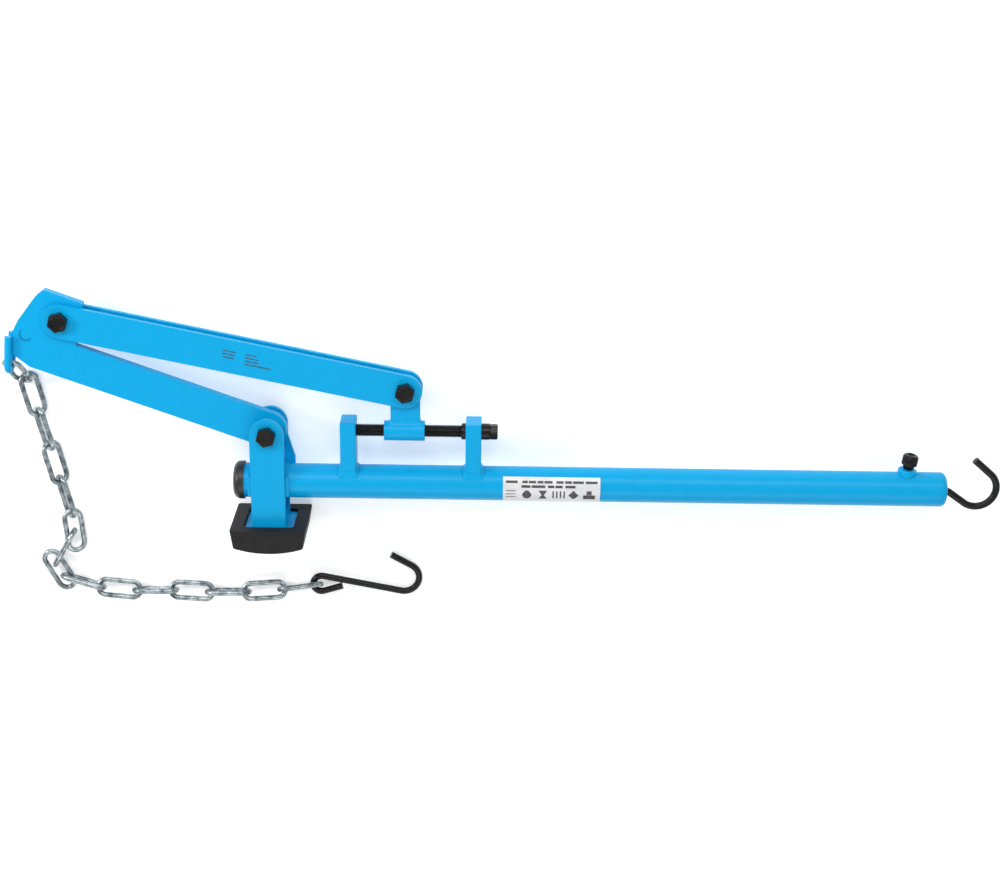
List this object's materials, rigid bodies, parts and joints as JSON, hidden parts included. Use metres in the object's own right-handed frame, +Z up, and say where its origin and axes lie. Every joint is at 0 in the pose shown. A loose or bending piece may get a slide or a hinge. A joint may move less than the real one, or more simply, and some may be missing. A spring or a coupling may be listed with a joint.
{
  "type": "suspension arm lever",
  "caption": "Press-down lever tool with a rubber foot, screw-adjusted linkage arms, a chain with an S-hook and a hooked far end.",
  "frame": {"origin": "centre of the rubber pad's flat side, on the floor the tool lies on", "axes": "+X along the lever tube towards its far hook, +Y from the rubber pad up towards the arms, +Z up from the floor"},
  "size_m": [1.0889, 0.3757, 0.082],
  "materials": {
    "blue_paint": "gloss",
    "black_oxide": "satin",
    "black_rubber": "matte",
    "black_plastic": "satin",
    "label_vinyl": "satin",
    "plain_steel": "satin",
    "zinc_chain": "satin"
  },
  "bodies": {
    "frame": {"lever_tube": "blue_paint", "tube_far_cap": "blue_paint", "tube_end_cap": "black_plastic", "label_plate": "label_vinyl", "bracket_plate_front": "blue_paint", "bracket_plate_rear": "blue_paint", "base_plate": "blue_paint", "rubber_pad": "black_rubber", "bracket_welds": "blue_paint", "screw_post_inner": "blue_paint", "screw_post_outer": "blue_paint", "post_welds": "blue_paint", "pivot_bolt": "black_oxide", "pivot_nut": "black_oxide", "pivot_spacers": "plain_steel", "clamp_boss": "blue_paint"},
    "lower_arm": {"lower_arm": "blue_paint", "chain_eye": "blue_paint"},
    "upper_arm": {"upper_strap_front": "blue_paint", "upper_strap_rear": "blue_paint", "head_bolt": "black_oxide", "head_nut": "black_oxide", "carriage_bolt": "black_oxide", "carriage_nut": "black_oxide"},
    "carriage": {"carriage_sleeve": "blue_paint", "carriage_lug": "blue_paint", "carriage_weld": "blue_paint"},
    "adjusting_screw": {"adjusting_screw": "black_oxide", "thrust_collar": "black_oxide", "retaining_collar": "black_oxide"},
    "clamp_screw": {"clamp_screw": "black_oxide"},
    "hook_rod": {"hook_rod": "black_oxide"},
    "link_01": {"chain_link_01": "zinc_chain"},
    "link_02": {"chain_link_02": "zinc_chain"},
    "link_03": {"chain_link_03": "zinc_chain"},
    "link_04": {"chain_link_04": "zinc_chain"},
    "link_05": {"chain_link_05": "zinc_chain"},
    "link_06": {"chain_link_06": "zinc_chain"},
    "link_07": {"chain_link_07": "zinc_chain"},
    "link_08": {"chain_link_08": "zinc_chain"},
    "link_09": {"chain_link_09": "zinc_chain"},
    "link_10": {"chain_link_10": "zinc_chain"},
    "link_11": {"chain_link_11": "zinc_chain"},
    "link_12": {"chain_link_12": "zinc_chain"},
    "link_13": {"chain_link_13": "zinc_chain"},
    "link_14": {"chain_link_14": "zinc_chain"},
    "link_15": {"chain_link_15": "zinc_chain"},
    "s_hook": {"s_hook": "black_oxide"}
  },
  "joints": [
    {"name": "lower_arm_pivot", "type": "hinge", "parent": "frame", "child": "lower_arm", "pos_m": [0, 0.1185, 0.041], "axis": [0, 0, 1], "range_deg": [-8, 8]},
    {"name": "head_pivot", "type": "hinge", "parent": "lower_arm", "child": "upper_arm", "pos_m": [-0.21865, 0.2397, 0.041], "axis": [0, 0, 1], "range_deg": [-4, 4]},
    {"name": "carriage_pivot", "type": "hinge", "parent": "upper_arm", "child": "carriage", "pos_m": [0.14903, 0.166, 0.041], "axis": [0, 0, 1], "range_deg": [-5.5, 5.5]},
    {"name": "screw_turn", "type": "hinge", "parent": "frame", "child": "adjusting_screw", "pos_m": [0.155, 0.1185, 0.041], "axis": [1, 0, 0], "range_deg": [-1980, 1980]},
    {"name": "clamp_screw_turn", "type": "hinge", "parent": "frame", "child": "clamp_screw", "pos_m": [0.6963, 0.062, 0.041], "axis": [0.1392, 0.9903, 0], "range_deg": [0, 720]},
    {"name": "hook_rod_slide", "type": "slide", "parent": "frame", "child": "hook_rod", "axis": [1, 0, 0], "range_m": [0, 0.06]},
    {"name": "link_01_swivel", "type": "hinge", "parent": "lower_arm", "child": "link_01", "pos_m": [-0.276, 0.191, 0.041], "axis": [0, 0, 1], "range_deg": [-8, 1]},
    {"name": "link_02_swivel", "type": "hinge", "parent": "link_01", "child": "link_02", "pos_m": [-0.2676, 0.167, 0.0088], "axis": [0, 0, -1], "range_deg": [-10, 10]},
    {"name": "link_03_swivel", "type": "hinge", "parent": "link_02", "child": "link_03", "pos_m": [-0.25829, 0.12666, 0.0088], "axis": [0, 0, 1], "range_deg": [-10, 2]},
    {"name": "link_04_swivel", "type": "hinge", "parent": "link_03", "child": "link_04", "pos_m": [-0.24668, 0.08009, 0.01], "axis": [0, 0, -1], "range_deg": [-10, 10]},
    {"name": "link_05_swivel", "type": "hinge", "parent": "link_04", "child": "link_05", "pos_m": [-0.23885, 0.04618, 0.0099], "axis": [0, 0, 1], "range_deg": [-10, 10]},
    {"name": "link_06_swivel", "type": "hinge", "parent": "link_05", "child": "link_06", "pos_m": [-0.22805, -0.00059, 0.0102], "axis": [0, 0, -1], "range_deg": [-8, 2]},
    {"name": "link_07_swivel", "type": "hinge", "parent": "link_06", "child": "link_07", "pos_m": [-0.22653, -0.01792, 0.0107], "axis": [0, 0, 1], "range_deg": [-12, 12]},
    {"name": "link_08_swivel", "type": "hinge", "parent": "link_07", "child": "link_08", "pos_m": [-0.25053, -0.05949, 0.012], "axis": [0, 0, -1], "range_deg": [-12, 12]},
    {"name": "link_09_swivel", "type": "hinge", "parent": "link_08", "child": "link_09", "pos_m": [-0.24302, -0.07362, 0.0108], "axis": [0, 0, 1], "range_deg": [-9, 9]},
    {"name": "link_10_swivel", "type": "hinge", "parent": "link_09", "child": "link_10", "pos_m": [-0.19712, -0.08765, 0.012], "axis": [0, 0, -1], "range_deg": [-2, 10]},
    {"name": "link_11_swivel", "type": "hinge", "parent": "link_10", "child": "link_11", "pos_m": [-0.16245, -0.09069, 0.0108], "axis": [0, 0, 1], "range_deg": [-10, 4]},
    {"name": "link_12_swivel", "type": "hinge", "parent": "link_11", "child": "link_12", "pos_m": [-0.11446, -0.08985, 0.012], "axis": [0, 0, -1], "range_deg": [-8, 8]},
    {"name": "link_13_swivel", "type": "hinge", "parent": "link_12", "child": "link_13", "pos_m": [-0.07971, -0.09167, 0.0108], "axis": [0, 0, 1], "range_deg": [-10, 6]},
    {"name": "link_14_swivel", "type": "hinge", "parent": "link_13", "child": "link_14", "pos_m": [-0.03171, -0.09083, 0.012], "axis": [0, 0, -1], "range_deg": [-6, 10]},
    {"name": "link_15_swivel", "type": "hinge", "parent": "link_14", "child": "link_15", "pos_m": [0.00296, -0.0878, 0.0108], "axis": [0, 0, 1], "range_deg": [-8, 8]},
    {"name": "s_hook_swivel", "type": "hinge", "parent": "link_15", "child": "s_hook", "pos_m": [0.05036, -0.08029, 0.0113], "axis": [0, 0, -1], "range_deg": [-12, 12]}
  ],
  "couplings": [
    {"joint": "head_pivot", "follows": "lower_arm_pivot", "ratio": -0.4052},
    {"joint": "carriage_pivot", "follows": "lower_arm_pivot", "ratio": -0.5948},
    {"joint": "screw_turn", "follows": "lower_arm_pivot", "ratio": 242.8}
  ]
}
